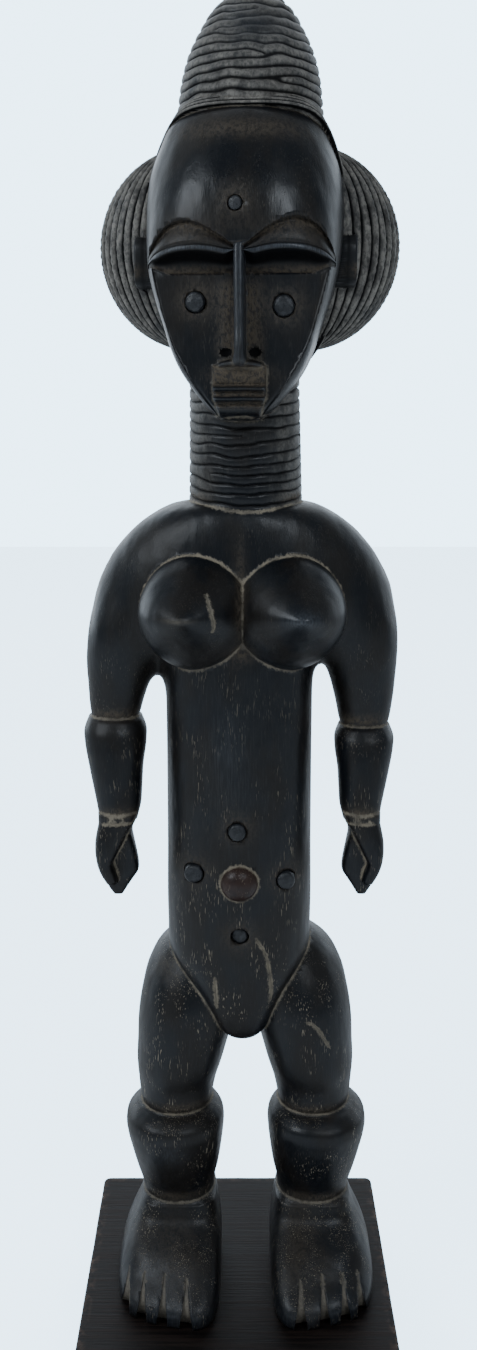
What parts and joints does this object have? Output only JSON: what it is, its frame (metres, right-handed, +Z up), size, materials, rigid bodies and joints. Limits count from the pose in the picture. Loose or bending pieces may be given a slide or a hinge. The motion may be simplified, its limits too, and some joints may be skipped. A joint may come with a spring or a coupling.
{
  "type": "attie figure",
  "caption": "Standing female figure carved from dark wood, with ridged hair, ringed neck and inserted pegs, on a flat wooden base.",
  "frame": {"origin": "middle of the base's underside", "axes": "+Z up along the figure, -Y the way the figure faces, +X to the viewer's right"},
  "size_m": [0.1358, 0.122, 0.5703],
  "materials": {
    "carved_wood": "black stain, hand-polished satin, with brown dirt in the cuts",
    "peg_wood": "black-stained end grain, satin",
    "base_wood": "dark brown-black stain, satin, with fine straight grain"
  },
  "bodies": {
    "root": {"figure": "carved_wood", "base": "base_wood", "peg_forehead": "peg_wood", "peg_cheek_left": "peg_wood", "peg_cheek_right": "peg_wood", "peg_belly_top": "peg_wood", "peg_belly_left": "peg_wood", "peg_belly_right": "peg_wood", "peg_belly_bottom": "peg_wood"}
  },
  "joints": []
}
